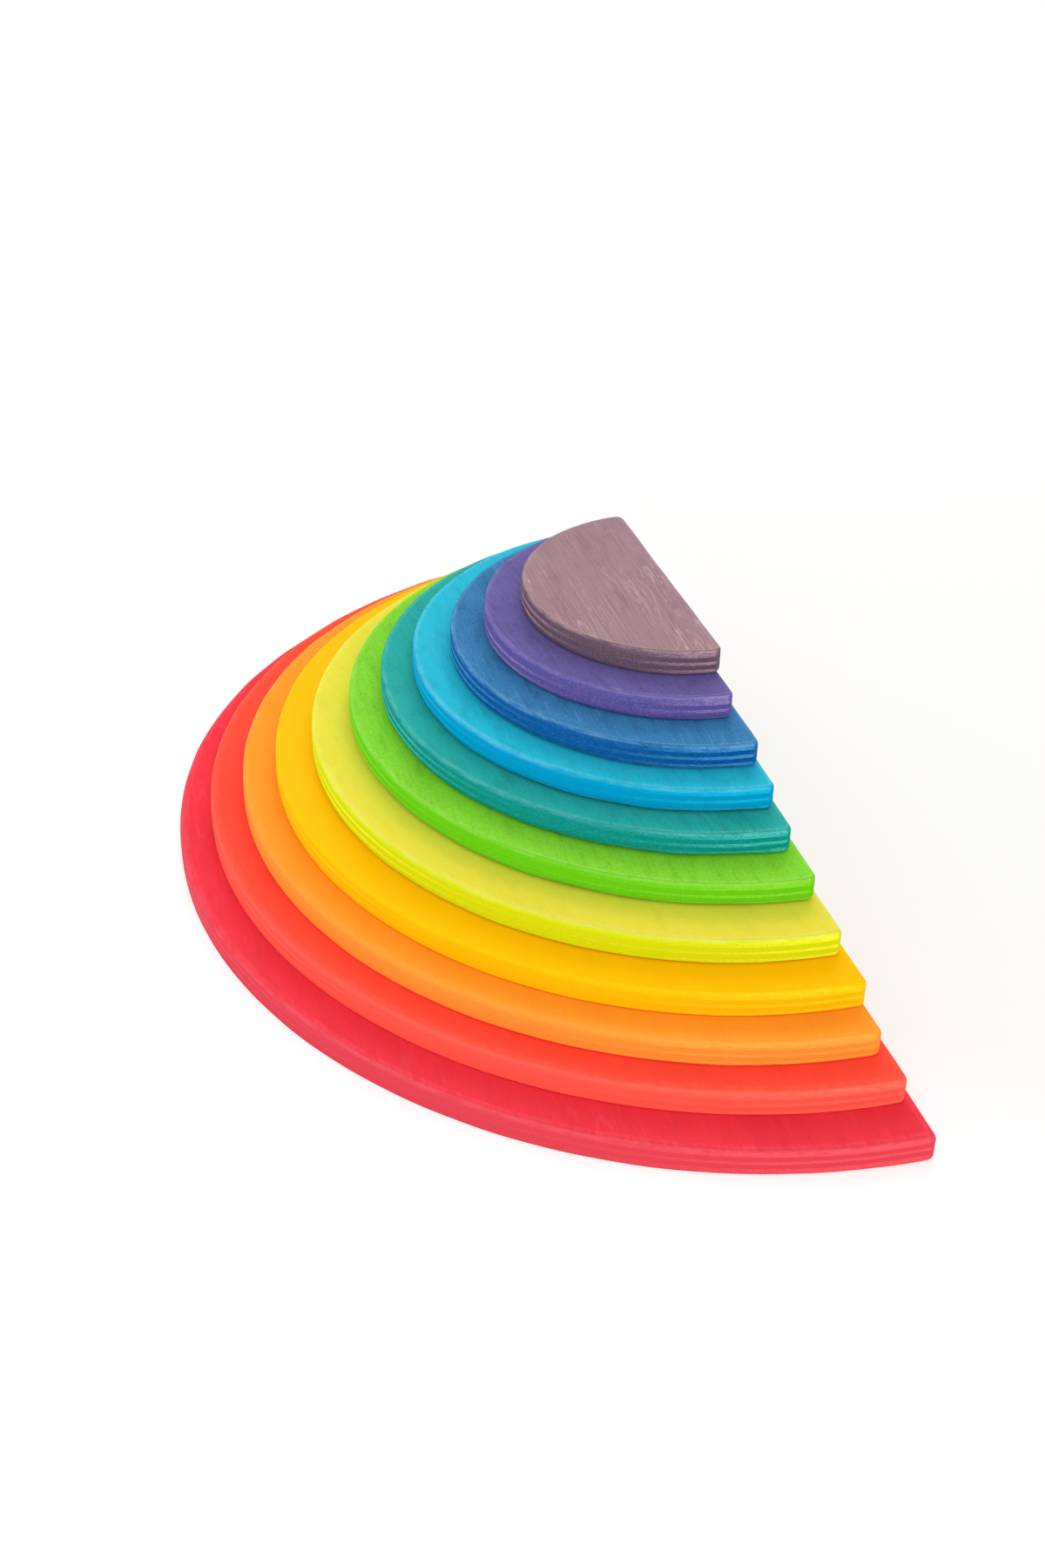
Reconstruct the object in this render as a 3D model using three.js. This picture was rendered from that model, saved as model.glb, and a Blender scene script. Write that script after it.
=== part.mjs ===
// A pile of loose half-disc building boards, each one size smaller than the board it lies on.
// Sizes are in millimetres, +Z is up, X runs along the straight edges and the arcs face -Y.
// The origin is at the middle of the footprint, on the table.
import * as THREE from "three";

// The sheet that every board is sawn from
const THICKNESS = 8;

// The air between two boards that lie on each other, because plywood is never quite flat
const REST_GAP = 0.1;

// Half-disc radii: the top board is the smallest, and each board beneath it is one step larger
const SMALLEST_RADIUS = 46;
const RADIUS_STEP = 12.75;

// The two points of a half disc are rounded in plan, and all its edges are sanded round
const CORNER_RADIUS = 2.75;
const EDGE_ROUND = 1.5;

// How far a flat facet may stray from a true arc, and how many facets round a corner and an edge
const ARC_TOLERANCE = 0.07;
const CORNER_FACETS = 4;
const EDGE_FACETS = 3;

// The boards from the table up, as a hand has sawn and laid them:
// over is how much larger than its step the radius came out,
// setIn is how far a straight edge lies behind that of the board beneath,
// aside is how far its middle lies from the middle of the pile, and turn is its twist in degrees
const BOARDS = [
  { name: "crimson_board", colour: "#e33349", over: 0, setIn: 0, aside: 0, turn: 0 },
  { name: "red_board", colour: "#f94c3a", over: 0.4, setIn: 1.6, aside: -2.8, turn: -0.3 },
  { name: "orange_board", colour: "#fb9230", over: 0.6, setIn: 2.15, aside: -1.5, turn: -0.8 },
  { name: "amber_board", colour: "#fcbd08", over: 0.3, setIn: 2.55, aside: -0.4, turn: 0.2 },
  { name: "lime_board", colour: "#e0de3c", over: -0.1, setIn: 1.45, aside: -0.3, turn: -0.3 },
  { name: "green_board", colour: "#78c92e", over: -0.5, setIn: 0.45, aside: -2.8, turn: -1.2 },
  { name: "teal_board", colour: "#1d9f97", over: -0.5, setIn: 2.5, aside: -3.3, turn: -1.4 },
  { name: "cyan_board", colour: "#0ca9c6", over: 0.4, setIn: 2.1, aside: -2.15, turn: -1.2 },
  { name: "blue_board", colour: "#3072a8", over: -0.1, setIn: 2.1, aside: 0.2, turn: -0.7 },
  { name: "violet_board", colour: "#675d96", over: -1, setIn: 3, aside: -0.8, turn: -0.6 },
  { name: "mauve_board", colour: "#a8888e", over: 0, setIn: 0.1, aside: -1.5, turn: 0 },
];

// The points of an arc, from one angle to another
function arc(x, y, radius, from, to, facets) {
  return new THREE.EllipseCurve(x, y, radius, radius, from, to).getPoints(facets);
}

// The outline of a half disc with rounded points. Each corner circle touches the straight edge
// and lies inside the large arc, which it meets a small angle in front of the straight edge.
function halfDisc(radius) {
  const reach = radius - CORNER_RADIUS;
  const cornerX = Math.sqrt(reach ** 2 - CORNER_RADIUS ** 2);
  const lean = Math.asin(CORNER_RADIUS / reach);
  const facetAngle = 2 * Math.acos(1 - ARC_TOLERANCE / radius);
  const facets = Math.ceil(Math.PI / facetAngle);
  const front = arc(0, 0, radius, Math.PI + lean, 2 * Math.PI - lean, facets);
  const right = arc(cornerX, -CORNER_RADIUS, CORNER_RADIUS, -lean, Math.PI / 2, CORNER_FACETS);
  const left = arc(-cornerX, -CORNER_RADIUS, CORNER_RADIUS, Math.PI / 2, Math.PI + lean, CORNER_FACETS);
  return new THREE.Shape([...front, ...right.slice(1), ...left.slice(0, -1)]);
}

// One board: the half disc drawn up to the sheet's thickness, with a quarter round along both rims.
// Its own origin is at the middle of its straight edge, on its underside.
function board(radius) {
  const solid = new THREE.ExtrudeGeometry(halfDisc(radius), {
    depth: THICKNESS - 2 * EDGE_ROUND,
    bevelEnabled: true,
    bevelThickness: EDGE_ROUND,
    bevelSize: EDGE_ROUND,
    bevelOffset: -EDGE_ROUND,
    bevelSegments: EDGE_FACETS,
  });
  solid.translate(0, 0, EDGE_ROUND);
  return solid;
}

// The pile, laid from the table up
const pile = new THREE.Group();
pile.name = "rainbow_stacker";

const largestRadius = SMALLEST_RADIUS + RADIUS_STEP * (BOARDS.length - 1);
let straightEdgeY = largestRadius / 2;

BOARDS.forEach(({ name, colour, over, setIn, aside, turn }, level) => {
  const finish = new THREE.MeshStandardMaterial({ color: colour, roughness: 0.7, metalness: 0 });
  const mesh = new THREE.Mesh(board(largestRadius - RADIUS_STEP * level + over), finish);
  straightEdgeY -= setIn;
  mesh.name = name;
  mesh.position.set(aside, straightEdgeY, level * (THICKNESS + REST_GAP));
  mesh.rotation.z = THREE.MathUtils.degToRad(turn);
  pile.add(mesh);
});

export default pile;
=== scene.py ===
# %% [markdown]
# # A pile of rainbow boards
#
# The object is a pile of half-disc building boards. Each board is sawn from plywood, sanded round
# along its edges and stained in one colour, and each lies loose on the next larger one.
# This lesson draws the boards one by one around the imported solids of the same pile, which say where
# every board lies and how it can be lifted. The solids stay plain; the sawn edges, the veneers and
# the stain are made here.

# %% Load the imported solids
import math

import bpy
import numpy as np
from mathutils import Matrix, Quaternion, Vector


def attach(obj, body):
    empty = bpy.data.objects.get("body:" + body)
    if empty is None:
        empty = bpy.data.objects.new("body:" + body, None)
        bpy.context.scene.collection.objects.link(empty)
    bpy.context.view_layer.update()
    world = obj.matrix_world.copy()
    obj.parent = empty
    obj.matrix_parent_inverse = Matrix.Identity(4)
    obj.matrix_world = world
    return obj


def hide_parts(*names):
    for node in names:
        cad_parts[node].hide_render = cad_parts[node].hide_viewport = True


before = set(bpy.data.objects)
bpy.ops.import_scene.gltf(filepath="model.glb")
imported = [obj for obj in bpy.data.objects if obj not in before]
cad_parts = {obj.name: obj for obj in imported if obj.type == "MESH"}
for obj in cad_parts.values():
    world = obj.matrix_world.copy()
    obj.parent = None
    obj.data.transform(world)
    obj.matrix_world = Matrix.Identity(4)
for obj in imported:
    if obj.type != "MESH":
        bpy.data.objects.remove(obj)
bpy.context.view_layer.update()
MM = 0.001
print("solids:", len(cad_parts))

# %% [markdown]
# ## The camera
#
# The photograph looks at the pile from the right-hand end of its straight edges, a little from the
# front and from above. A camera is easiest to understand as an arm: it starts at a point on the
# table, turns round the pile by the azimuth, rises by the elevation, and the camera sits at its far
# end and looks back. A small roll puts the slight tilt of the photograph back. The lens comes from
# the photograph's perspective; Blender measures it against the long side of the picture.

# %% Put the camera on its arm
AIM = Vector((-31.9, 32.1, 0.0)) * MM
AZIMUTH = math.radians(72.56)
ELEVATION = math.radians(33.14)
ROLL = math.radians(1.39)
ARM = 722.7 * MM
LENS_MM = 48.92
SENSOR_MM = 36.0
NEAREST = 0.01
LONG_SIDE_PIXELS = 1800

arm_direction = Vector((
    math.sin(AZIMUTH) * math.cos(ELEVATION),
    -math.cos(AZIMUTH) * math.cos(ELEVATION),
    math.sin(ELEVATION),
))
camera = bpy.data.objects.new("camera", bpy.data.cameras.new("camera"))
camera.data.lens = LENS_MM
camera.data.sensor_width = SENSOR_MM
camera.data.clip_start = NEAREST
camera.location = AIM + ARM * arm_direction
camera.rotation_mode = "QUATERNION"
camera.rotation_quaternion = arm_direction.to_track_quat("Z", "Y") @ Quaternion((0, 0, 1), ROLL)
scene = bpy.context.scene
scene.collection.objects.link(camera)
bpy.context.scene.camera = camera
pixel_mm = ARM / MM * SENSOR_MM / LENS_MM / LONG_SIDE_PIXELS
print("camera at", [round(v / MM) for v in camera.location], "mm")
print("a pixel of the photograph shows about", round(pixel_mm, 2), "mm of the pile")

# %% [markdown]
# ## A node at a time
#
# Every material below is a small network of nodes. One helper adds a node, sets what it needs and
# joins its inputs, and gives back the output that the next node reads. An input is named by its
# label or its number, and takes either a plain value or another node's output. Math and Mix nodes
# need the numbers, because several of their inputs share a label. In a Mix node 0 is the factor, 2 and
# 3 are two plain values, 6 and 7 are two colours, and a mixed colour comes out at 2.
# Colours are written as the hex values that a screen shows, and one function turns them into the
# linear light that a renderer adds up.

# %% Three helpers for every material
COLOUR_MIX = {"output": 2, "data_type": "RGBA"}


def add(tree, kind, inputs=None, output=0, **settings):
    """Adds a node of this kind with its settings, fills or joins its inputs, and returns one output."""
    node = tree.nodes.new(kind)
    for name, value in settings.items():
        setattr(node, name, value)
    for socket, value in (inputs or {}).items():
        if isinstance(value, bpy.types.NodeSocket):
            tree.links.new(value, node.inputs[socket])
        else:
            node.inputs[socket].default_value = value
    return node.outputs[output] if node.outputs else None


def linear(hex_colour, shade=1.0):
    """The linear colour of an sRGB hex value: the dark end is a straight line, the rest a 2.4 power.

    A shade below 1 gives the same colour with less light.
    """
    srgb = np.array([int(hex_colour[i:i + 2], 16) for i in (1, 3, 5)]) / 255
    light = np.where(srgb > 0.04045, ((srgb + 0.055) / 1.055) ** 2.4, srgb / 12.92)
    return tuple(shade * light) + (1.0,)


def new_material(name):
    """A material without any nodes, and its node tree."""
    material = bpy.data.materials.new(name)
    material.use_nodes = True
    material.node_tree.nodes.clear()
    return material, material.node_tree


print("mid grey in linear light:", round(linear("#808080")[0], 3))

# %% [markdown]
# ## A white sky
#
# The photograph is a bright studio picture. Soft light comes from everywhere, so the faces and the
# edges of the boards are almost equally bright. Many lamps all round would do that; a sky that shines
# evenly does it with one number. Together with the lamps that follow, its level is one at which a
# colour renders about as it is written, and the view transform called Standard leaves it so. The
# camera sees the sky as plain white, and so would anything shiny.

# %% Light the sky
SKY_LEVEL = 0.79
SKY_SEEN = 1.0


def seen_directly(tree):
    """1 for a ray from the camera, or one that came by a mirror or a window; 0 for scattered light."""
    rays = add(tree, "ShaderNodeLightPath").node
    shiny = add(tree, "ShaderNodeMath", {
        0: rays.outputs["Is Glossy Ray"], 1: rays.outputs["Is Transmission Ray"],
    }, operation="MAXIMUM")
    return add(tree, "ShaderNodeMath", {0: rays.outputs["Is Camera Ray"], 1: shiny}, operation="MAXIMUM")


scene.view_settings.view_transform = "Standard"
world = bpy.data.worlds.new("studio")
world.use_nodes = True
tree = world.node_tree
tree.nodes.clear()
scene.world = world
sky_level = add(tree, "ShaderNodeMix", {0: seen_directly(tree), 2: SKY_LEVEL, 3: SKY_SEEN})
sky = add(tree, "ShaderNodeBackground", {"Color": linear("#ffffff"), "Strength": sky_level})
add(tree, "ShaderNodeOutputWorld", {"Surface": sky})
print("sky level:", SKY_LEVEL, "on the boards,", SKY_SEEN, "to the camera")

# %% [markdown]
# ## White paper
#
# The pile lies on white paper with only a breath of shadow. More light would whiten the paper, but
# it would bleach the boards too. So the floor is made of two looks. Light that scatters on to the boards
# bounces off ordinary white paper. The camera sees a grey that catches the shadows, and a glow of
# the paper's own on top that lifts it to white. Behind the straight edges, where the real
# paper lies in the shade of the pile, the glow is a little weaker.

# %% Lay the paper
FLOOR_SIZE = 8.0
PAPER_WHITE = 0.9
PAPER_GREY = 0.42

# metres: the middle of the shade, and how far from it the shade starts and stops fading
SHADE_MIDDLE = (-0.05, 0.3, 0.0)
SHADE_REACH = (0.25, 0.35)

# strength of the glow in the shade and outside it
GLOW = (0.515, 0.67)

paper, tree = new_material("white_paper")
scatter = add(tree, "ShaderNodeBsdfDiffuse", {"Color": linear("#ffffff", PAPER_WHITE)})
shaded = add(tree, "ShaderNodeBsdfDiffuse", {"Color": linear("#fffefc", PAPER_GREY)})
from_shade = add(tree, "ShaderNodeVectorMath", {
    0: add(tree, "ShaderNodeTexCoord", output="Object"), 1: SHADE_MIDDLE,
}, output="Value", operation="DISTANCE")
glow = add(tree, "ShaderNodeMapRange", {
    "Value": from_shade, "From Min": SHADE_REACH[0], "From Max": SHADE_REACH[1],
    "To Min": GLOW[0], "To Max": GLOW[1],
}, interpolation_type="SMOOTHSTEP")
bright = add(tree, "ShaderNodeEmission", {"Color": linear("#ffffff"), "Strength": glow})
shown = add(tree, "ShaderNodeAddShader", {0: shaded, 1: bright})
floor_look = add(tree, "ShaderNodeMixShader", {0: seen_directly(tree), 1: scatter, 2: shown})
add(tree, "ShaderNodeOutputMaterial", {"Surface": floor_look})

half = FLOOR_SIZE / 2
corners = [(-half, -half, 0), (half, -half, 0), (half, half, 0), (-half, half, 0)]
floor_mesh = bpy.data.meshes.new("floor")
floor_mesh.from_pydata(corners, [], [(0, 1, 2, 3)])
floor_mesh.materials.append(paper)
floor = bpy.data.objects.new("floor", floor_mesh)
scene.collection.objects.link(floor)
print("paper:", FLOOR_SIZE, "m wide,", len(tree.nodes), "nodes")

# %% [markdown]
# ## Three soft lamps
#
# A sky alone lights every side alike and looks flat. In the photograph the left walls and the near
# faces are a touch brighter and the faint shadow falls behind the straight edges. Three wide, weak
# lamps give that: one low on the left, one high at the back and one in front, behind the camera.
# They are wide because the shadow of a wide lamp has no visible edge.

# %% Hang the lamps
LAMP_SIZE = 1.2

# place in metres and power in watts
LAMPS = {
    "lamp_left": ((-0.8, -1.15, 0.4), 5.8),
    "lamp_back": ((-1.3, 0.5, 1.15), 12.0),
    "lamp_front": ((1.2, -0.2, 0.55), 5.2),
}
for name, (place, watts) in LAMPS.items():
    lamp = bpy.data.objects.new(name, bpy.data.lights.new(name, "AREA"))
    lamp.data.energy = watts
    lamp.data.size = LAMP_SIZE
    lamp.location = place
    lamp.rotation_mode = "QUATERNION"
    lamp.rotation_quaternion = Vector(place).to_track_quat("Z", "Y")
    scene.collection.objects.link(lamp)
    print(name, round(Vector(place).length, 2), "m from the pile")

# %% [markdown]
# ## The outline of a half disc
#
# Seen from above, a board is half a disc with its two points rounded off. One way to draw that is
# piece by piece: a line, a small arc, a large arc and a small arc. A neater way is to think of a round
# pen: the pen's middle slides along the straight edge, the pen then turns on the spot at a corner,
# grows to the size of the disc for the long arc, and shrinks again. Every point is then the pen's
# middle plus its radius in the direction that it faces, and that direction is also the way out of
# the board, which the edge needs later.

# %% Draw an outline with the sliding pen
# lengths of the boards are in millimetres from here on
CORNER_RADIUS = 2.75
POINT_SPACING = 2.0
CORNER_POINTS = 12


def half_disc(radius):
    """Points of the outline and the way out at each: pen middle + pen radius x (cos, sin) of the angle.

    The pen runs clockwise seen from above: straight edge, right corner, long arc, left corner.
    The corner pen touches the long arc from inside, so its middle lies (radius - corner) from the
    disc's centre, and the long arc starts a small lean in front of the straight edge.
    """
    reach = radius - CORNER_RADIUS
    corner_x = math.sqrt(reach ** 2 - CORNER_RADIUS ** 2)
    lean = math.asin(CORNER_RADIUS / reach)
    on_line = int(2 * corner_x / POINT_SPACING)
    on_arc = int(math.pi * radius / POINT_SPACING)
    counts = (on_line, CORNER_POINTS, on_arc, CORNER_POINTS)
    slide = np.linspace(-corner_x, corner_x, on_line, endpoint=False)
    pen_x = np.concatenate([slide, np.repeat([corner_x, 0, -corner_x], counts[1:])])
    pen_y = np.repeat([-CORNER_RADIUS, -CORNER_RADIUS, 0, -CORNER_RADIUS], counts)
    pen_radius = np.repeat([CORNER_RADIUS, CORNER_RADIUS, radius, CORNER_RADIUS], counts)
    right, left = -lean, lean - math.pi
    angle = np.concatenate([
        np.full(on_line, math.pi / 2),
        np.linspace(math.pi / 2, right, CORNER_POINTS, endpoint=False),
        np.linspace(right, left, on_arc, endpoint=False),
        np.linspace(left, -1.5 * math.pi, CORNER_POINTS, endpoint=False),
    ])
    way_out = np.stack([np.cos(angle), np.sin(angle)])
    return np.stack([pen_x, pen_y]) + pen_radius * way_out, way_out


print("points round a board of 100 mm radius:", half_disc(100.0)[0].shape[1])

# %% [markdown]
# ## Five veneers
#
# The edge is what makes plywood look like plywood. Five veneers lie across each other, so at any
# place on the arc three of them are cut across their grain and two along it, or the other way
# round. The two outer veneers are the thickest. Cut fibres are hard and stand a little proud after
# sanding, long fibres wear back a little, and a fine groove marks each glue line. Five thin slabs would
# show that too, but a single wall that moves in and out by hundredths of a millimetre stays one
# closed skin, as the glued board is one piece.

# %% Relief of the veneers
INNER_VENEER = 1.27
RELIEF = 0.05
GLUE_GROOVE = 0.05
GLUE_WIDTH = 0.12

# how fast relief sets in beside a glue line, and the wave beyond which there is no more glue
VENEER_EASE = 2.5
OUTER_WAVE = 0.9


def veneer_wave(from_middle):
    """A cosine of the distance from the middle: 1 in the middle veneer and the outer two, -1 between."""
    return np.cos(math.pi * np.minimum(from_middle, 2 * INNER_VENEER) / INNER_VENEER)


def veneer_relief(height, across, middle):
    """How far the wall lies in: relief x share of long fibres, plus a groove at each glue line.

    Glue lies where the wave is zero, and the groove is a bell curve of the distance from there.
    Past the last glue line, in the outer veneers, there is none.
    """
    from_middle = np.abs(height - middle)
    wave = veneer_wave(from_middle)
    cut_fibres = np.where(wave > 0, across, 1 - across)
    inside = np.clip(np.abs(wave) * VENEER_EASE, 0, 1)
    from_glue = np.abs(from_middle / INNER_VENEER % 1 - 0.5) * INNER_VENEER
    groove = GLUE_GROOVE * np.exp(-(from_glue / GLUE_WIDTH) ** 2) * (wave < OUTER_WAVE)
    return RELIEF * (1 - cut_fibres) * inside + groove


print("glue lines", INNER_VENEER / 2, "and", 1.5 * INNER_VENEER, "mm above and below the middle")

# %% [markdown]
# ## The sawn and sanded edge
#
# Both rims are rounded over with a bit that is set a hair too high, so the upper round doesn't run
# out smoothly but meets the face in a fine crease, and no hand keeps a round the same all the way.
# A bevel modifier gives even rounds only. The edge is therefore one profile, from the upper face over
# the rim, down the wall and under, carried along the outline. Each row of the profile says how far in
# from the outline it lies and how high, and both may change along the outline.

# %% Profile of the edge
THICKNESS = 8.0
CREASE_WIDTH = 0.2
ROUND_ROWS = 7
WALL_ROWS = 31

# rows of points on the face beside the crease, which keep it sharp
BESIDE_CREASE = CREASE_WIDTH * np.array([[2.5], [1.5], [0.7]])

# share by which a round grows and shrinks, the wavelengths of that, and a peak that their sum rarely passes
ROUND_WANDER = 0.15
WANDER_MM = np.array([23.0, 37.0, 61.0, 97.0])
WANDER_PEAK = 2.4


def wander(run, rng):
    """A gentle wobble between -1 and 1 along the outline: the sum of a few sines, whole turns each."""
    turns = np.maximum(np.round(run[-1] / WANDER_MM), 1)
    phase = rng.uniform(0, 2 * math.pi, len(WANDER_MM))
    sines = np.sin(2 * math.pi * np.outer(turns, run / run[-1]) + phase[:, None])
    return np.clip(sines.sum(0) / WANDER_PEAK, -1, 1)


def edge_profile(run, across, rims, middle, rng):
    """Rows of (inset, height, edge share, crease) from the upper face to the underside, a column per point.

    A round is part of a circle: inset = r (1 - cos b), drop = r (sin of the crease angle - sin b), for b
    from the crease angle at the face to 0 at the wall. The wall runs straight down to the lower round,
    which starts at 0 and ends level. Relief moves the wall in where a veneer shows long grain.
    """
    radius, crease_angle, foot = rims
    upper = radius * (1 + ROUND_WANDER * wander(run, rng))
    lower = foot * (1 + ROUND_WANDER * wander(run, rng))
    bend = np.linspace(crease_angle - CREASE_WIDTH / radius, 0, ROUND_ROWS)
    bend = np.concatenate([[crease_angle], bend])[:, None]
    down = np.linspace(0, 1, WALL_ROWS)[1:-1, None]
    under = np.linspace(0, math.pi / 2, ROUND_ROWS)[:, None]
    level = 0 * BESIDE_CREASE
    flat = np.ones_like(run)
    inset = np.concatenate([
        upper * (1 - math.cos(crease_angle)) + BESIDE_CREASE,
        upper * (1 - np.cos(bend)),
        0 * down * flat,
        lower * (1 - np.cos(under)),
        lower + BESIDE_CREASE[1::-1],
    ])
    wall_top = THICKNESS - upper * math.sin(crease_angle)
    height = np.concatenate([
        (THICKNESS + level) * flat,
        wall_top + upper * np.sin(bend),
        (1 - down) * wall_top + down * lower,
        lower * (1 - np.sin(under)),
        level[:2] * flat,
    ])
    edge = np.concatenate([level, 1 - np.sin(bend) ** 2, 1 + 0 * down, np.cos(under), level[:2]]) * flat
    crease = np.zeros_like(inset)
    crease[len(level):len(level) + 2] = 1
    return inset + edge * veneer_relief(height, across, middle), height, edge, crease


test_run = np.linspace(0, 500, 200)
test_rows = edge_profile(test_run, np.full(200, 0.5), (1.5, 1.0, 1.0), 4.0, np.random.default_rng(1))
print("rows in the edge profile:", len(test_rows[0]))
print("its lowest and highest points in mm:", test_rows[1].min(), test_rows[1].max())

# %% [markdown]
# ## From profile to grid
#
# Carried along the outline, each row of the profile is a ring of points. On both faces of the board
# a few more rings shrink towards one middle point, near the balance point of a half disc.
# A round that is larger than a corner would fold over itself there, so the lower round grows from
# what a corner allows to its full radius with the distance from the straight edge.
# Four things that the stain will need are kept for each point: how squarely the edge cuts the grain
# of the outer veneers, how far the point lies from the rim, whether it is on the edge, and whether
# it is in the crease.

# %% Points of a board
# rings on a face, as shares of the way to its pole, and the pole's distance as a share of the radius
FACE_RINGS = np.array([0.06, 0.3, 0.65])
BALANCE = 0.42

# largest lower round at a corner, and how much it may grow with each millimetre from there
CORNER_FOOT = 1.8
FOOT_EASE = 0.1

# distance from the rim that all the inner points of a face are given
MID_FACE = 25.0


def board_points(radius, grain, rims, middle, seed):
    """Rings of points, two poles and the values kept for the stain, in the board's own millimetres.

    Point = outline - inset x way out. A ring on a face = pole + shrink x (outermost ring - pole).
    """
    outline, way_out = half_disc(radius)
    upper_radius, crease_angle, foot = rims
    foot = np.minimum(foot, CORNER_FOOT + FOOT_EASE * np.maximum(-outline[1] - CORNER_RADIUS, 0))
    steps = np.hypot(*(np.roll(outline, -1, 1) - outline))
    run = np.concatenate([[0], np.cumsum(steps)[:-1]])
    across = (way_out[0] * math.cos(grain) + way_out[1] * math.sin(grain)) ** 2
    rng = np.random.default_rng(seed)
    inset, height, edge, crease = edge_profile(run, across, (upper_radius, crease_angle, foot), middle, rng)

    rings = outline[:, None] - inset * way_out[:, None]
    pole = np.array([0.0, -BALANCE * radius])[:, None, None]
    shrink = (1 - FACE_RINGS)[None, :, None]
    upper = pole + (rings[:, :1] - pole) * shrink[:, ::-1]
    lower = pole + (rings[:, -1:] - pole) * shrink
    x, y = np.concatenate([upper, rings, lower], axis=1)
    face = np.ones((len(FACE_RINGS), len(run)))
    z = np.concatenate([THICKNESS * face, height, 0 * face])
    poles = np.array([[0, -BALANCE * radius, THICKNESS], [0, -BALANCE * radius, 0]])
    kept = {
        "across_grain": across * np.ones_like(z),
        "from_rim": np.concatenate([MID_FACE * face, inset, MID_FACE * face]),
        "on_edge": np.concatenate([0 * face, edge, 0 * face]),
        "crease": np.concatenate([0 * face, crease, 0 * face]),
    }
    return np.stack([x, y, z], axis=-1), poles, kept


test_points = board_points(100.0, 0.0, (1.5, 1.0, 1.0), 4.0, 1)[0]
print("rings and points in each for a board of 100 mm radius:", test_points.shape[:2])

# %% [markdown]
# ## From grid to board
#
# The rings turn into a closed skin: a ring and the next make a belt of four-sided faces, and a fan of
# triangles closes the middle of each face. The board is then turned and put in its place.
# The place goes into the mesh and the object stays at the origin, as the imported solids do.

# %% Skin the points
def board_mesh(name, points, poles, kept, place, turn):
    """A closed mesh. The turn is x' = x cos - y sin and y' = x sin + y cos, then the place is added."""
    rings, columns = points.shape[:2]
    points = np.concatenate([points.reshape(-1, 3), poles])
    spin = np.array([[math.cos(turn), math.sin(turn)], [-math.sin(turn), math.cos(turn)]])
    points[:, :2] = points[:, :2] @ spin
    points = (points + np.array(place)) * MM

    here = np.arange(rings * columns).reshape(rings, columns)
    after = np.roll(here, -1, 1)
    upper_pole = np.full(columns, rings * columns)
    belts = np.stack([here[:-1], after[:-1], after[1:], here[1:]], axis=-1).reshape(-1, 4)
    cap = np.stack([after[0], here[0], upper_pole], axis=-1)
    base = np.stack([here[-1], after[-1], upper_pole + 1], axis=-1)

    mesh = bpy.data.meshes.new(name)
    mesh.from_pydata(points, [], belts.tolist() + cap.tolist() + base.tolist())
    mesh.shade_smooth()
    for label, values in kept.items():
        at_points = np.append(values, [values[0, 0], values[-1, 0]]).astype(np.float32)
        mesh.attributes.new(label, "FLOAT", "POINT").data.foreach_set("value", at_points)
    mesh.validate()
    return mesh


test_rings, test_columns = test_points.shape[:2]
print("faces of that board, belts and fans:", (test_rings + 1) * test_columns)

# %% [markdown]
# ## Laying the pile
#
# The boards are laid from the table up. Each is one step smaller than the one beneath, give or take
# the saw, and a hand has put them down, so a straight edge lies a few millimetres behind the one
# below, a little to one side and a little askew. These numbers are those of the solids, because
# both must be in the same place.

# %% Sizes and places of the boards
SMALLEST_RADIUS = 46.0
RADIUS_STEP = 12.75
REST_GAP = 0.1

# millimetres over its step in radius, set in from the board beneath and aside; turn in degrees
LAID = {
    "crimson": (0.0, 0.0, 0.0, 0.0),
    "red": (0.4, 1.6, -2.8, -0.3),
    "orange": (0.6, 2.15, -1.5, -0.8),
    "amber": (0.3, 2.55, -0.4, 0.2),
    "lime": (-0.1, 1.45, -0.3, -0.3),
    "green": (-0.5, 0.45, -2.8, -1.2),
    "teal": (-0.5, 2.5, -3.3, -1.4),
    "cyan": (0.4, 2.1, -2.15, -1.2),
    "blue": (-0.1, 2.1, 0.2, -0.7),
    "violet": (-1.0, 3.0, -0.8, -0.6),
    "mauve": (0.0, 0.1, -1.5, 0.0),
}
largest_radius = SMALLEST_RADIUS + RADIUS_STEP * (len(LAID) - 1)
print("boards:", len(LAID), "radii in mm:", SMALLEST_RADIUS, "to", largest_radius)

# %% [markdown]
# ## Sawn by hand
#
# How a board was sawn and sanded is only drawn here, because it is finer than the solids. The five
# warm boards at the bottom have full upper rounds that almost run out into the face; the cold ones
# are rounded less and show a clear crease. The lower rounds differ even more. The middle veneer is
# off the middle of a board where one face was sanded more than the other. One set of numbers for
# all would be simpler, but then every board would look like a copy of the next.

# %% Lay the boards
# how far apart two boards lie in the noise, so that no two have the same marks
SEED_STEP = 7.3

# degrees of the grain; radius of the upper round, degrees at which it meets the face, radius of the
# lower round; height of the middle veneer
SAWN = {
    "crimson": (-3.0, 1.8, 84, 1.0, 4.4),
    "red": (4.0, 1.8, 86, 0.5, 3.4),
    "orange": (-6.0, 1.8, 86, 0.8, 3.5),
    "amber": (2.0, 1.8, 84, 0.5, 3.4),
    "lime": (7.0, 1.6, 74, 1.1, 3.75),
    "green": (-4.0, 1.5, 57, 2.6, 3.7),
    "teal": (3.0, 1.5, 62, 2.7, 4.2),
    "cyan": (-2.0, 1.5, 66, 2.6, 4.0),
    "blue": (-1.0, 1.5, 60, 2.2, 4.1),
    "violet": (5.0, 1.5, 60, 1.8, 3.1),
    "mauve": (-1.0, 1.5, 60, 1.4, 3.8),
}
straight_y = largest_radius / 2
boards = {}
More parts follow.
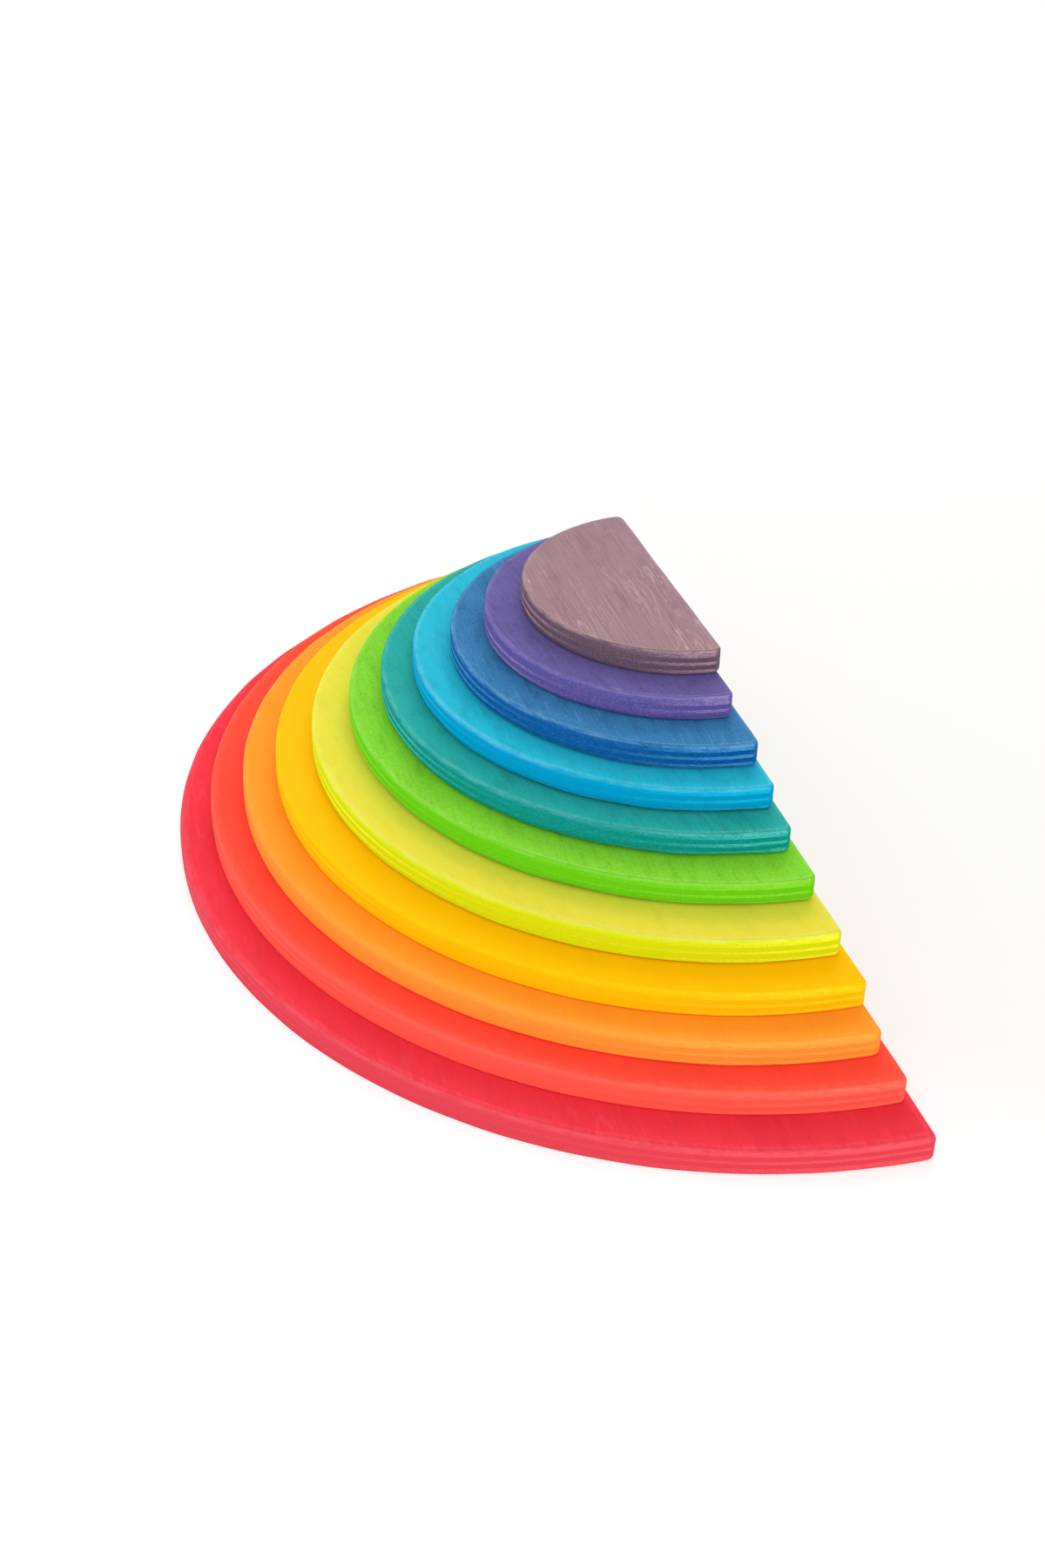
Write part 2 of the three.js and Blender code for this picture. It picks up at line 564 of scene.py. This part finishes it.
for level, (colour, (over, set_in, aside, turn)) in enumerate(LAID.items()):
    grain, upper_radius, crease_degrees, lower_radius, middle = SAWN[colour]
    radius = largest_radius - RADIUS_STEP * level + over
    rims = (upper_radius, math.radians(crease_degrees), lower_radius)
    points, poles, kept = board_points(radius, math.radians(grain), rims, middle, seed=level + 1)
    straight_y -= set_in
    place = (aside, straight_y, level * (THICKNESS + REST_GAP))
    mesh = board_mesh(colour + "_half_disc", points, poles, kept, place, math.radians(turn))
    piece = bpy.data.objects.new(mesh.name, mesh)
    scene.collection.objects.link(piece)
    node = colour + "_board"
    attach(piece, node)
    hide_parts(node)
    boards[colour] = {
        "piece": piece,
        "place": place,
        "turn": math.radians(turn + grain),
        "middle": middle,
        "seed": SEED_STEP * level,
    }
    print(piece.name, len(mesh.polygons), "faces")

# %% [markdown]
# ## Stained birch plywood
#
# The boards are birch plywood, sanded, dipped in a thin water stain and oiled. The stain soaks in, so
# the wood still shows: soft clouds where the veneer drank more, fine fibres along the grain, short
# pale flecks where the cut runs through a ray, and the faint contour lines of a veneer that was peeled
# from the log. The eye also gets a matt surface with hardly any gloss.
# A picture of wood would be one way to make it; here it is worked out in three dimensions from
# each board's own millimetres, so the pattern runs on from the face into the edge.
# Every mark in the wood starts as a soft noise whose patches have the size of that mark. Fibres in
# birch are a few hundredths of a millimetre thick, and its pores are hardly thicker. Both are too fine
# to show, so they are drawn as bundles of about the size of a pixel.

# %% Patterns in the wood
NOISE_ROUGHNESS = 0.55

# millimetres along the grain, across it and up through the veneers, and the number of finer layers;
# fibre, pore and speckle are coarser than the real ones, which are too fine to show
PATTERNS = {
    "cloud": ((60.0, 16.0, 16.0), 2.0),
    "fibre": ((11.0, 0.28, 0.28), 2.0),
    "pore": ((0.8, 0.4, 0.4), 2.0),
    "patch": ((30.0, 11.0, 11.0), 2.0),
    "fleck": ((5.0, 0.45, 0.45), 1.0),
    # patches of the rubbed band beside the rim, which also paint a sheen
    "rub_and_sheen": ((5.0, 1.2, 1.2), 3.0),
    "hair": ((90.0, 2.8, 2.8), 2.0),
    "contour": ((60.0, 16.0, 16.0), 2.0),
    "mottle": ((9.0, 3.5, 3.5), 3.0),
    "grain": ((20.0, 0.8, 0.8), 3.0),
    "wobble": ((16.0, 16.0, 5.0), 2.0),
    "speckle": ((0.7, 0.7, 0.35), 3.0),
    "streak": ((3.5, 3.5, 0.45), 2.0),
    # patches of the worn crest of the rim, which also paint its highlight
    "rim_wear_and_highlight": ((6.0, 6.0, 1.2), 3.0),
}


def board_millimetres(tree, board):
    """Place in the board, (point - place) turned back and divided by a millimetre: along, across, up."""
    return add(tree, "ShaderNodeMapping", {
        "Vector": add(tree, "ShaderNodeTexCoord", output="Object"),
        "Location": [v * MM for v in board["place"]],
        "Rotation": (0, 0, board["turn"]),
        "Scale": (MM, MM, MM),
    }, vector_type="TEXTURE")


def wood_patterns(tree, mm, seed):
    """All the patterns by name, between 0 and 1: noise of millimetres / patch size, with seed + number."""
    patterns = {}
    for number, (name, (size, layers)) in enumerate(PATTERNS.items()):
        patches = add(tree, "ShaderNodeVectorMath", {0: mm, 1: [1 / s for s in size]}, operation="MULTIPLY")
        patterns[name] = add(tree, "ShaderNodeTexNoise", {
            "Vector": patches, "W": seed + number, "Scale": 1.0,
            "Detail": layers, "Roughness": NOISE_ROUGHNESS,
        }, noise_dimensions="4D")
    return patterns


finest = min(PATTERNS, key=lambda name: min(PATTERNS[name][0]))
print("patterns:", len(PATTERNS), "the finest is", finest, "at", min(PATTERNS[finest][0]), "mm")

# %% [markdown]
# ## The stained face
#
# A face starts as the plain stain. Clouds, and the hollows of three finer patterns, take it towards
# a darker shade of the same stain. Fibres, flecks, the ridges between the pores, hair lines and
# contour lines take it towards the pale wood. Painting by hand would place such marks more exactly,
# but a few rules work for all eleven boards.
# Each mark is a pattern that is cut off below one value and full above another; where the first of
# the two is the larger one, the mark is in the hollows. Lines come from a hill of noise as the
# contour lines of a map do, which is also how a peeled veneer gets them.

# %% From patterns to marks
LINE_PEAK = (0.90, 1.0)
SMOOTH = {"interpolation_type": "SMOOTHSTEP"}

# values of a pattern between which its mark goes from nothing to its full strength
MARKS = {
    "cloud": (0.42, 0.66),
    "pore": (0.54, 0.28),
    "mottle": (0.54, 0.28),
    "grain": (0.54, 0.28),
    "patch": (0.44, 0.62),
    "fleck": (0.64, 0.74),
    "rub_and_sheen": (0.20, 0.75),
    "fibre": (0.50, 0.72),
}


def rise(value, low, high, most=1.0):
    """What a Map Range node needs to rise from 0, where value is low, to most, where it is high."""
    return {"Value": value, "From Min": low, "From Max": high, "To Min": 0.0, "To Max": most}


def thin_lines(tree, hill, count, patch, most):
    """Lines of equal height on a hill of noise: the peaks of sine(count x height), kept in the patches."""
    phase = add(tree, "ShaderNodeMath", {0: hill, 1: count}, operation="MULTIPLY")
    wave = add(tree, "ShaderNodeMath", {0: phase}, operation="SINE")
    line = add(tree, "ShaderNodeMapRange", rise(wave, *LINE_PEAK, most), **SMOOTH)
    return add(tree, "ShaderNodeMath", {0: line, 1: patch}, operation="MULTIPLY")


print("marks from patterns:", ", ".join(MARKS))

# %% [markdown]
# ## Adding up the marks
#
# The deep marks are added up and mix the stain with its darker shade, then the pale ones are added up
# and mix that with pale wood. Flecks and lines come in patches, as they do where the knife met
# the grain at a slant. The outermost few millimetres are paler in patches: partly rubbed where hands
# hold the board, partly a painted sheen beside the rim.

# %% Colour of a face
DEEP_SHADE = 0.68
HAIRS = 26.0
CONTOURS = 34.0
RUBBED_AND_SHEEN_RIM = (6.0, 2.2)
PORE_RIDGE = (0.52, 0.78)
RIDGE_SHARE = 0.4


def face_colour(tree, patterns, stain):
    """Stain, mixed with its deep shade by the sum of the deep marks, then with pale wood by the pale ones.

    A mark without a strength in the stain, which is only the patches, is used in full.
    """
    mark = {}
    for name, (low, high) in MARKS.items():
        inputs = rise(patterns[name], low, high, stain.get(name, 1.0))
        mark[name] = add(tree, "ShaderNodeMapRange", inputs, **SMOOTH)
    deep = mark["cloud"]
    for name in ("pore", "mottle", "grain"):
        deep = add(tree, "ShaderNodeMath", {0: deep, 1: mark[name]}, operation="ADD", use_clamp=True)

    rim = add(tree, "ShaderNodeAttribute", output="Fac", attribute_name="from_rim")
    # beside the rim the face is paled: partly rubbed by hands, partly painted sheen
    rim_rub_and_sheen = add(tree, "ShaderNodeMapRange", rise(rim, *RUBBED_AND_SHEEN_RIM), **SMOOTH)
    ridge = rise(patterns["pore"], *PORE_RIDGE, RIDGE_SHARE * stain["pore"])
    pale = add(tree, "ShaderNodeMapRange", ridge, **SMOOTH)
    paler = [
        # paler near the rim: rubbed wear and painted sheen
        add(tree, "ShaderNodeMath", {0: rim_rub_and_sheen, 1: mark["rub_and_sheen"]}, operation="MULTIPLY"),
        add(tree, "ShaderNodeMath", {0: mark["patch"], 1: mark["fleck"]}, operation="MULTIPLY"),
        thin_lines(tree, patterns["hair"], HAIRS, mark["patch"], stain["hair"]),
        thin_lines(tree, patterns["contour"], CONTOURS, mark["patch"], stain["contour"]),
        mark["fibre"],
    ]
    for part in paler:
        pale = add(tree, "ShaderNodeMath", {0: pale, 1: part}, operation="ADD", use_clamp=True)

    stained = add(tree, "ShaderNodeMix", {
        0: deep, 6: linear(stain["face"]), 7: linear(stain["face"], DEEP_SHADE),
    }, **COLOUR_MIX)
    return add(tree, "ShaderNodeMix", {0: pale, 6: stained, 7: linear(stain["pale"])}, **COLOUR_MIX)


print("the deepest stain keeps", DEEP_SHADE, "of its light")

# %% [markdown]
# ## Bands on the edge
#
# On the edge the veneers show as bands. Which of them have their fibres cut changes round the arc:
# near the ends of the straight edge it is the outer and the middle veneers, at the front it is the
# other two, and half-way they are all alike. That is one of the values kept for each point. Fibres that
# are cut on a slant look a little paler and those that are cut square look much paler, so a small
# part of that value counts as it is and the rest is raised to a high power.
# The bands could be painted on with a gradient, but taken from the same cosine as the relief they
# lie where its grooves are, and they drift only a little, as real veneers do.

# %% Bands of veneer
WOBBLE = 0.5
BAND_EASE = (-0.5, 0.5)
SQUARE_CUT = 8.0
SLANT_CUT = 0.15


def veneer_bands(tree, mm, wobble, middle):
    """The veneer wave again, as nodes: a cosine of the distance from the middle, which drifts a little."""
    level = add(tree, "ShaderNodeSeparateXYZ", {0: mm}, output="Z")
    drift = add(tree, "ShaderNodeMath", {
        0: wobble, 1: WOBBLE, 2: -WOBBLE / 2 - middle,
    }, operation="MULTIPLY_ADD")
    level = add(tree, "ShaderNodeMath", {0: level, 1: drift}, operation="ADD")
    from_middle = add(tree, "ShaderNodeMath", {0: level}, operation="ABSOLUTE")
    inner = add(tree, "ShaderNodeMath", {0: from_middle, 1: 2 * INNER_VENEER}, operation="MINIMUM")
    phase = add(tree, "ShaderNodeMath", {0: inner, 1: math.pi / INNER_VENEER}, operation="MULTIPLY")
    return add(tree, "ShaderNodeMath", {0: phase}, operation="COSINE")


def cut_share(tree, wave):
    """Share of cut fibres s in each band, as it shows: slant x s + (1 - slant) x s to a high power."""
    outer = add(tree, "ShaderNodeMapRange", rise(wave, *BAND_EASE), **SMOOTH)
    across = add(tree, "ShaderNodeAttribute", output="Fac", attribute_name="across_grain")
    along = add(tree, "ShaderNodeMath", {0: 1.0, 1: across}, operation="SUBTRACT")
    square = add(tree, "ShaderNodeMix", {0: outer, 2: along, 3: across})
    steep = add(tree, "ShaderNodeMath", {0: square, 1: SQUARE_CUT}, operation="POWER")
    gentle = add(tree, "ShaderNodeMath", {0: square, 1: SLANT_CUT}, operation="MULTIPLY")
    return add(tree, "ShaderNodeMath", {0: steep, 1: 1 - SLANT_CUT, 2: gentle}, operation="MULTIPLY_ADD")


half_slant = SLANT_CUT * 0.5 + (1 - SLANT_CUT) * 0.5 ** SQUARE_CUT
print("fibres that are half cut look", round(half_slant, 3), "as pale as those cut square")

# %% [markdown]
# ## The stained edge
#
# A band whose fibres are cut looks pale and dry, one whose fibres run along the edge drinks the stain
# and turns deep, and a hair of dark glue lies between them. The dry ends are streaked along the
# band, and dust in the cut fibres makes a fine speckle.

# %% Colour of an edge
DRY_ENDS = (0.45, 1.45)
DRIEST = 1.5
SPECKLED = (0.46, 0.74)
GLUE_BAND = (0.35, 0.0)
GLUE_SHADE = 0.6


def edge_colour(tree, mm, patterns, stain, middle):
    """Edge stain, mixed with the cut colour by dry cut fibres plus speckle, times a shade at the glue."""
    wave = veneer_bands(tree, mm, patterns["wobble"], middle)
    dry = add(tree, "ShaderNodeMath", {0: patterns["speckle"], 1: patterns["streak"]}, operation="ADD")
    dry = add(tree, "ShaderNodeMapRange", rise(dry, *DRY_ENDS, DRIEST), **SMOOTH)
    bare = add(tree, "ShaderNodeMath", {0: cut_share(tree, wave), 1: dry}, operation="MULTIPLY")
    dust = rise(patterns["speckle"], *SPECKLED, stain["speckle"])
    dust = add(tree, "ShaderNodeMapRange", dust, **SMOOTH)
    pale = add(tree, "ShaderNodeMath", {0: bare, 1: dust}, operation="ADD", use_clamp=True)
    colour = add(tree, "ShaderNodeMix", {
        0: pale, 6: linear(stain["edge"]), 7: linear(stain["cut"]),
    }, **COLOUR_MIX)
    near_glue = add(tree, "ShaderNodeMath", {0: wave}, operation="ABSOLUTE")
    glue = add(tree, "ShaderNodeMapRange", rise(near_glue, *GLUE_BAND, stain["glue"]), **SMOOTH)
    return add(tree, "ShaderNodeMix", {
        0: glue, 6: colour, 7: linear("#ffffff", GLUE_SHADE),
    }, blend_type="MULTIPLY", **COLOUR_MIX)


print("a full glue line keeps", GLUE_SHADE, "of the light of the stain")

# %% [markdown]
# ## Worn rims with a painted highlight, and painted shade in the creases
#
# Face and edge meet on the rounded rim. There the pale wood shows in patches along the crest, which
# draws the light line that runs along every board: partly stain rubbed away, partly a painted highlight
# of the rounded rim. In the fine crease behind it a dark hair line is painted where the fibres are cut,
# which is painted shade in the crease. Both follow values kept with the points, because they belong to
# the form of the edge and not to the grain.

# %% Worn rim with a painted highlight, painted shade in the crease
CREST_RISES = (0.02, 0.40)
CREST_FALLS = (1.0, 0.60)
WORN_AND_HIGHLIT_PATCHES = (0.30, 0.66)
CUT_CREASE = (0.1, 0.8)
LINE_SHADE = 0.35


def worn_and_highlit_colour(tree, colour, on_edge, worn_and_highlit_patches, stain):
    """Colour, mixed with pale wood by crest x patches (worn stain plus painted highlight), then times a
    painted shade by crease x cut fibres.
    """
    # the crest of the rim is paled in patches: partly worn stain, partly a painted highlight
    rising = add(tree, "ShaderNodeMapRange", rise(on_edge, *CREST_RISES), **SMOOTH)
    falling = add(tree, "ShaderNodeMapRange", rise(on_edge, *CREST_FALLS, stain["rim_wear_and_highlight"]), **SMOOTH)
    crest = add(tree, "ShaderNodeMath", {0: rising, 1: falling}, operation="MULTIPLY")
    worn_and_highlit_patches = add(tree, "ShaderNodeMapRange", rise(worn_and_highlit_patches, *WORN_AND_HIGHLIT_PATCHES), **SMOOTH)
    worn_and_highlit = add(tree, "ShaderNodeMath", {0: crest, 1: worn_and_highlit_patches}, operation="MULTIPLY")
    colour = add(tree, "ShaderNodeMix", {0: worn_and_highlit, 6: colour, 7: linear(stain["pale"])}, **COLOUR_MIX)

    # painted shade: a dark hair line along the crease, strongest where the fibres are cut
    crease = add(tree, "ShaderNodeAttribute", output="Fac", attribute_name="crease")
    across = add(tree, "ShaderNodeAttribute", output="Fac", attribute_name="across_grain")
    crease_shade_strength = add(tree, "ShaderNodeMapRange", rise(across, *CUT_CREASE, stain["line"]), **SMOOTH)
    crease_shade_line = add(tree, "ShaderNodeMath", {0: crease, 1: crease_shade_strength}, operation="MULTIPLY")
    return add(tree, "ShaderNodeMix", {
        0: crease_shade_line, 6: colour, 7: linear("#ffffff", LINE_SHADE),
    }, blend_type="MULTIPLY", **COLOUR_MIX)


print("a full crease line keeps", LINE_SHADE, "of the light of the stain")

# %% [markdown]
# ## The whole finish
#
# The finish joins the colours of face and edge over the rim and adds the worn rim with its painted
# highlight and the painted shade in the crease. Oiled wood has an IOR of about 1.5, which mirrors a
# twenty-fifth of the light, but these boards are dry and dusty matt, so most of that gloss is taken away.
# Its roughness drifts with the clouds. The fibres lift the surface by a few hundredths of a millimetre,
# which is too little for the mesh and just right for a bump.

# %% Finish of a board
EDGE_BEGINS = (0.08, 0.60)
CLOUD_SPAN = (0.3, 0.7)
ROUGHNESS = (0.52, 0.66)
WOOD_IOR = 1.5
GLOSS = 0.02
FIBRE_LIFT = 0.04 * MM


def stained_birch_ply(name, board, stain):
    """Birch plywood in one stain: face and edge colours mixed by how far a point is on the edge."""
    material, tree = new_material(name)
    mm = board_millimetres(tree, board)
    patterns = wood_patterns(tree, mm, board["seed"])
    face = face_colour(tree, patterns, stain)
    edge = edge_colour(tree, mm, patterns, stain, board["middle"])
    on_edge = add(tree, "ShaderNodeAttribute", output="Fac", attribute_name="on_edge")
    over = add(tree, "ShaderNodeMapRange", rise(on_edge, *EDGE_BEGINS), **SMOOTH)
    colour = add(tree, "ShaderNodeMix", {0: over, 6: face, 7: edge}, **COLOUR_MIX)
    # worn rim with a painted highlight, and a painted shade line in the crease
    colour = worn_and_highlit_colour(tree, colour, on_edge, patterns["rim_wear_and_highlight"], stain)
    roughness = add(tree, "ShaderNodeMapRange", {
        "Value": patterns["cloud"], "From Min": CLOUD_SPAN[0], "From Max": CLOUD_SPAN[1],
        "To Min": ROUGHNESS[0], "To Max": ROUGHNESS[1],
    })
    lift = add(tree, "ShaderNodeMix", {0: over, 2: patterns["fibre"], 3: patterns["speckle"]})
    normal = add(tree, "ShaderNodeBump", {"Strength": 1.0, "Distance": FIBRE_LIFT, "Height": lift})
    shader = add(tree, "ShaderNodeBsdfPrincipled", {
        "Base Color": colour, "Roughness": roughness, "Normal": normal,
        "Specular IOR Level": GLOSS, "IOR": WOOD_IOR,
    })
    add(tree, "ShaderNodeOutputMaterial", {"Surface": shader})
    return material


mirrored = ((WOOD_IOR - 1) / (WOOD_IOR + 1)) ** 2
print("light mirrored straight back:", round(mirrored, 3), "of it kept:", 2 * GLOSS)

# %% [markdown]
# ## Eleven stains
#
# A thin stain on pale wood is brightest on the face, purer on an edge that drank more of it, and
# lighter again on dry cut fibres. So each stain has four colours: the face, the edge, cut fibres, and
# the pale wood that shows through where it is rubbed; the same pale colour also paints the highlight
# on the rim and the sheen beside it. They were matched to the boards under this light.
# The marks show much more under the cold and dark stains than under the yellow ones, which hide
# almost everything, so each board also has its own strength for every mark.

# %% Colours and strengths of the stains
COLOUR_PARTS = ("face", "edge", "cut", "pale")
STAIN_COLOURS = {
    "crimson": ("#eb3746", "#e04252", "#f8565f", "#fa7484"),
    "red": ("#fe4d39", "#fb5d4f", "#ff745c", "#ff7a66"),
    "orange": ("#fe9826", "#f69737", "#fdac44", "#ffb460"),
    "amber": ("#ffbd00", "#fac103", "#fbd61c", "#ffd21a"),
    "lime": ("#e7db42", "#d0de03", "#f3fa38", "#f2f088"),
    "green": ("#86d933", "#67ca12", "#8add34", "#aae666"),
    "teal": ("#26aba1", "#008c8a", "#49c3bb", "#6cc0b2"),
    "cyan": ("#24bdd6", "#009aca", "#0ebbe3", "#74d0e6"),
    "blue": ("#3a7fb4", "#005597", "#4994cc", "#76b2e0"),
    "violet": ("#6b60a0", "#595199", "#9483ba", "#9a8eca"),
    "mauve": ("#a07e86", "#614d5e", "#ae8996", "#d0b8b4"),
}

# three strengths are partly painted light: the rubbed band beside the rim is also painted sheen, the worn
# crest of the rim also a painted highlight, and the line in the crease is painted shade
MARK_PARTS = (
    "cloud", "mottle", "pore", "grain", "fibre", "fleck", "hair", "contour",
    "rub_and_sheen", "glue", "speckle", "rim_wear_and_highlight", "line",
)
STAIN_MARKS = {
    "crimson": (0.18, 0.15, 0.10, 0.10, 0.03, 0.08, 0.08, 0.10, 0.20, 0.18, 0.20, 0.25, 0.14),
    "red": (0.15, 0.12, 0.06, 0.05, 0.03, 0.04, 0.03, 0.03, 0.20, 0.12, 0.15, 0.06, 0.0),
    "orange": (0.12, 0.10, 0.05, 0.05, 0.03, 0.04, 0.03, 0.03, 0.18, 0.14, 0.15, 0.08, 0.0),
    "amber": (0.08, 0.05, 0.03, 0.03, 0.02, 0.03, 0.03, 0.03, 0.06, 0.16, 0.15, 0.04, 0.0),
    "lime": (0.08, 0.15, 0.08, 0.06, 0.04, 0.05, 0.04, 0.04, 0.20, 0.20, 0.22, 0.25, 0.12),
    "green": (0.20, 0.34, 0.50, 0.24, 0.05, 0.08, 0.05, 0.05, 0.35, 0.35, 0.32, 0.35, 0.35),
    "teal": (0.20, 0.38, 0.46, 0.22, 0.05, 0.08, 0.05, 0.05, 0.40, 0.28, 0.25, 0.35, 0.40),
    "cyan": (0.20, 0.42, 0.40, 0.22, 0.05, 0.08, 0.05, 0.05, 0.40, 0.25, 0.20, 0.35, 0.35),
    "blue": (0.30, 0.55, 0.46, 0.34, 0.07, 0.12, 0.22, 0.06, 0.30, 0.35, 0.25, 0.45, 0.50),
    "violet": (0.20, 0.40, 0.40, 0.32, 0.06, 0.12, 0.08, 0.05, 0.28, 0.30, 0.40, 0.32, 0.50),
    "mauve": (0.22, 0.26, 0.36, 0.54, 0.10, 0.60, 0.26, 0.22, 0.15, 0.35, 0.30, 0.30, 0.60),
}
print("stains:", len(STAIN_COLOURS), "strengths in each:", len(MARK_PARTS))

# %% [markdown]
# ## Staining the boards
#
# Every board gets a material of its own and not one shared by all, because its noise starts at its own
# seed and lies along its own grain: no two boards came from the same place in the sheet.

# %% Stain the boards
for colour, board in boards.items():
    stain = dict(zip(COLOUR_PARTS, STAIN_COLOURS[colour]))
    stain.update(zip(MARK_PARTS, STAIN_MARKS[colour]))
    material = stained_birch_ply("stained_birch_ply_" + colour, board, stain)
    board["piece"].data.materials.append(material)
    print(material.name, len(material.node_tree.nodes), "nodes")
